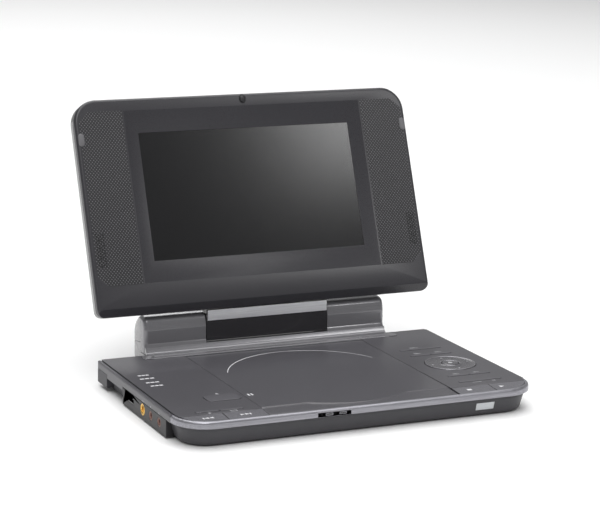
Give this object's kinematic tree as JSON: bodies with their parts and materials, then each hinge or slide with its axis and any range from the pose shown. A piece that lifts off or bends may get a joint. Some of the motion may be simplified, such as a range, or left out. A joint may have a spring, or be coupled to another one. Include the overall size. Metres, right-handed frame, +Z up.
{
  "type": "portable dvd player",
  "caption": "Clamshell disc player: flat base with a hinged disc lid and keys, and a wide display on a folding arm with hinges at both ends.",
  "frame": {"origin": "centre of the bounding box's bottom, on the surface it stands on", "axes": "+X to the right across the device as its user sees it, +Y from the user towards the back, +Z up"},
  "size_m": [0.2421, 0.2196, 0.181],
  "materials": {
    "deck_plastic": "fine satin charcoal plastic with a faint sparkle",
    "lid_plastic": "smooth satin-gloss charcoal plastic",
    "case_plastic": "fine textured charcoal plastic",
    "rim_metal": "brushed dark silver lacquer",
    "housing_gloss": "high gloss graphite plastic",
    "bezel_gloss": "satin-gloss charcoal plastic",
    "shell_gloss": "gloss near-black plastic",
    "arm_gloss": "gloss near-black plastic",
    "bright_metal": "fine brushed silver",
    "key_plastic": "satin grey plastic",
    "front_key_plastic": "satin silver-grey plastic",
    "ring_gloss": "satin-gloss charcoal plastic",
    "black_gloss": "gloss black plastic",
    "panel_black": "fine textured black plastic",
    "window_smoke": "pale translucent plastic",
    "lens_clear": "pale satin light pipe",
    "display_film": "smooth anti-glare film",
    "steel": "turned steel",
    "screw_steel": "blackened steel",
    "zinc": "dull cast zinc",
    "soft_rubber": "matte black rubber",
    "pad_rubber": "matte grey rubber",
    "gold_contact": "gold plated",
    "copper_contact": "tarnished copper ring",
    "board_green": "solder mask",
    "cell_wrap": "shrink wrap",
    "cone_paper": "matt speaker cone"
  },
  "bodies": {
    "base": {"bottom_case": "case_plastic", "deck_panel": "deck_plastic", "rim_trim": "rim_metal", "indicator_insert": "black_gloss", "status_lenses": "lens_clear", "ir_window": "window_smoke", "feet": "soft_rubber", "case_screws": "screw_steel", "jack_panel": "panel_black", "av_jack": "gold_contact", "headphone_jacks": "copper_contact", "multi_socket": "black_gloss", "dc_inlet": "black_gloss", "bay_floor": "panel_black", "traverse_chassis": "zinc", "guide_rods": "steel", "drive_motors": "steel", "key_boards": "board_green", "tact_switches": "panel_black", "main_board": "board_green", "battery_cells": "cell_wrap", "battery_door": "case_plastic", "housing_foot": "housing_gloss", "housing_front": "housing_gloss", "housing_rear": "housing_gloss", "hinge_barrels": "steel"},
    "arm": {"arm_frame": "zinc", "arm_front": "arm_gloss", "arm_rear": "arm_gloss", "arm_plate": "bright_metal", "lower_hinge_pin": "steel"},
    "display": {"bezel": "bezel_gloss", "rear_cover": "shell_gloss", "screen_panel": "display_film", "panel_frame": "steel", "display_board": "board_green", "speakers": "cone_paper", "upper_hinge_pin": "steel", "lid_pads": "pad_rubber", "lid_catch": "panel_black"},
    "disc_lid": {"disc_lid": "lid_plastic"},
    "disc_latch": {"disc_latch": "panel_black"},
    "turntable": {"turntable": "black_gloss"},
    "pickup_sled": {"pickup_sled": "panel_black"},
    "lead_screw": {"lead_screw": "steel"},
    "open_button": {"open_button": "key_plastic"},
    "bright_key": {"bright_key": "key_plastic"},
    "size_key": {"size_key": "key_plastic"},
    "select_key": {"select_key": "key_plastic"},
    "menu_key": {"menu_key": "key_plastic"},
    "list_key": {"list_key": "key_plastic"},
    "display_key": {"display_key": "key_plastic"},
    "return_key": {"return_key": "key_plastic"},
    "repeat_key": {"repeat_key": "key_plastic"},
    "skip_back_key": {"skip_back_key": "front_key_plastic"},
    "skip_forward_key": {"skip_forward_key": "front_key_plastic"},
    "stop_key": {"stop_key": "front_key_plastic"},
    "play_key": {"play_key": "front_key_plastic"},
    "nav_ring": {"nav_ring": "ring_gloss"},
    "ok_button": {"ok_button": "key_plastic"}
  },
  "joints": [
    {"name": "arm_hinge", "type": "hinge", "parent": "base", "child": "arm", "pos_m": [0, 0.05319, 0.0321], "axis": [1, 0, 0], "range_deg": [0, 111.5]},
    {"name": "display_hinge", "type": "hinge", "parent": "arm", "child": "display", "pos_m": [0, 0.05373, 0.048], "axis": [-1, 0, 0], "range_deg": [0, 60]},
    {"name": "disc_lid_hinge", "type": "hinge", "parent": "base", "child": "disc_lid", "pos_m": [0, 0.03514, 0.01645], "axis": [1, 0, 0], "range_deg": [-75, 0]},
    {"name": "turntable_spin", "type": "hinge", "parent": "base", "child": "turntable", "pos_m": [0, -0.03081, 0.011], "axis": [0, 0, 1], "continuous": true},
    {"name": "sled_travel", "type": "slide", "parent": "base", "child": "pickup_sled", "axis": [0, -1, 0], "range_m": [0, 0.032]},
    {"name": "lead_screw_spin", "type": "hinge", "parent": "base", "child": "lead_screw", "pos_m": [0.016, -0.07081, 0.0069], "axis": [0, 1, 0], "range_deg": [0, 3842]},
    {"name": "open_button_press", "type": "slide", "parent": "base", "child": "open_button", "axis": [0, 0, -1], "range_m": [0, 0.0008], "stiffness_N_per_m": 200, "springref_m": -0.0005},
    {"name": "bright_key_press", "type": "slide", "parent": "base", "child": "bright_key", "axis": [0, 0, -1], "range_m": [0, 0.0008], "stiffness_N_per_m": 200, "springref_m": -0.0005},
    {"name": "size_key_press", "type": "slide", "parent": "base", "child": "size_key", "axis": [0, 0, -1], "range_m": [0, 0.0008], "stiffness_N_per_m": 200, "springref_m": -0.0005},
    {"name": "select_key_press", "type": "slide", "parent": "base", "child": "select_key", "axis": [0, 0, -1], "range_m": [0, 0.0008], "stiffness_N_per_m": 200, "springref_m": -0.0005},
    {"name": "menu_key_press", "type": "slide", "parent": "base", "child": "menu_key", "axis": [0, 0, -1], "range_m": [0, 0.0008], "stiffness_N_per_m": 200, "springref_m": -0.0005},
    {"name": "list_key_press", "type": "slide", "parent": "base", "child": "list_key", "axis": [0, 0, -1], "range_m": [0, 0.0008], "stiffness_N_per_m": 200, "springref_m": -0.0005},
    {"name": "display_key_press", "type": "slide", "parent": "base", "child": "display_key", "axis": [0, 0, -1], "range_m": [0, 0.0008], "stiffness_N_per_m": 200, "springref_m": -0.0005},
    {"name": "return_key_press", "type": "slide", "parent": "base", "child": "return_key", "axis": [0, 0, -1], "range_m": [0, 0.0008], "stiffness_N_per_m": 200, "springref_m": -0.0005},
    {"name": "repeat_key_press", "type": "slide", "parent": "base", "child": "repeat_key", "axis": [0, 0, -1], "range_m": [0, 0.0008], "stiffness_N_per_m": 200, "springref_m": -0.0005},
    {"name": "skip_back_key_press", "type": "slide", "parent": "base", "child": "skip_back_key", "axis": [0, 0, -1], "range_m": [0, 0.0008], "stiffness_N_per_m": 200, "springref_m": -0.0005},
    {"name": "skip_forward_key_press", "type": "slide", "parent": "base", "child": "skip_forward_key", "axis": [0, 0, -1], "range_m": [0, 0.0008], "stiffness_N_per_m": 200, "springref_m": -0.0005},
    {"name": "stop_key_press", "type": "slide", "parent": "base", "child": "stop_key", "axis": [0, 0, -1], "range_m": [0, 0.0008], "stiffness_N_per_m": 200, "springref_m": -0.0005},
    {"name": "play_key_press", "type": "slide", "parent": "base", "child": "play_key", "axis": [0, 0, -1], "range_m": [0, 0.0008], "stiffness_N_per_m": 200, "springref_m": -0.0005},
    {"name": "nav_ring_press", "type": "slide", "parent": "base", "child": "nav_ring", "axis": [0, 0, -1], "range_m": [0, 0.0008], "stiffness_N_per_m": 200, "springref_m": -0.0005},
    {"name": "ok_button_press", "type": "slide", "parent": "base", "child": "ok_button", "axis": [0, 0, -1], "range_m": [0, 0.0008], "stiffness_N_per_m": 200, "springref_m": -0.0005},
    {"name": "latch_slide", "type": "slide", "parent": "base", "child": "disc_latch", "axis": [-1, 0, 0], "range_m": [0, 0.0012]}
  ],
  "couplings": [
    {"joint": "lead_screw_spin", "follows": "sled_travel", "rad_per_m": 2094.4},
    {"joint": "latch_slide", "follows": "open_button_press", "ratio": 1.5}
  ]
}
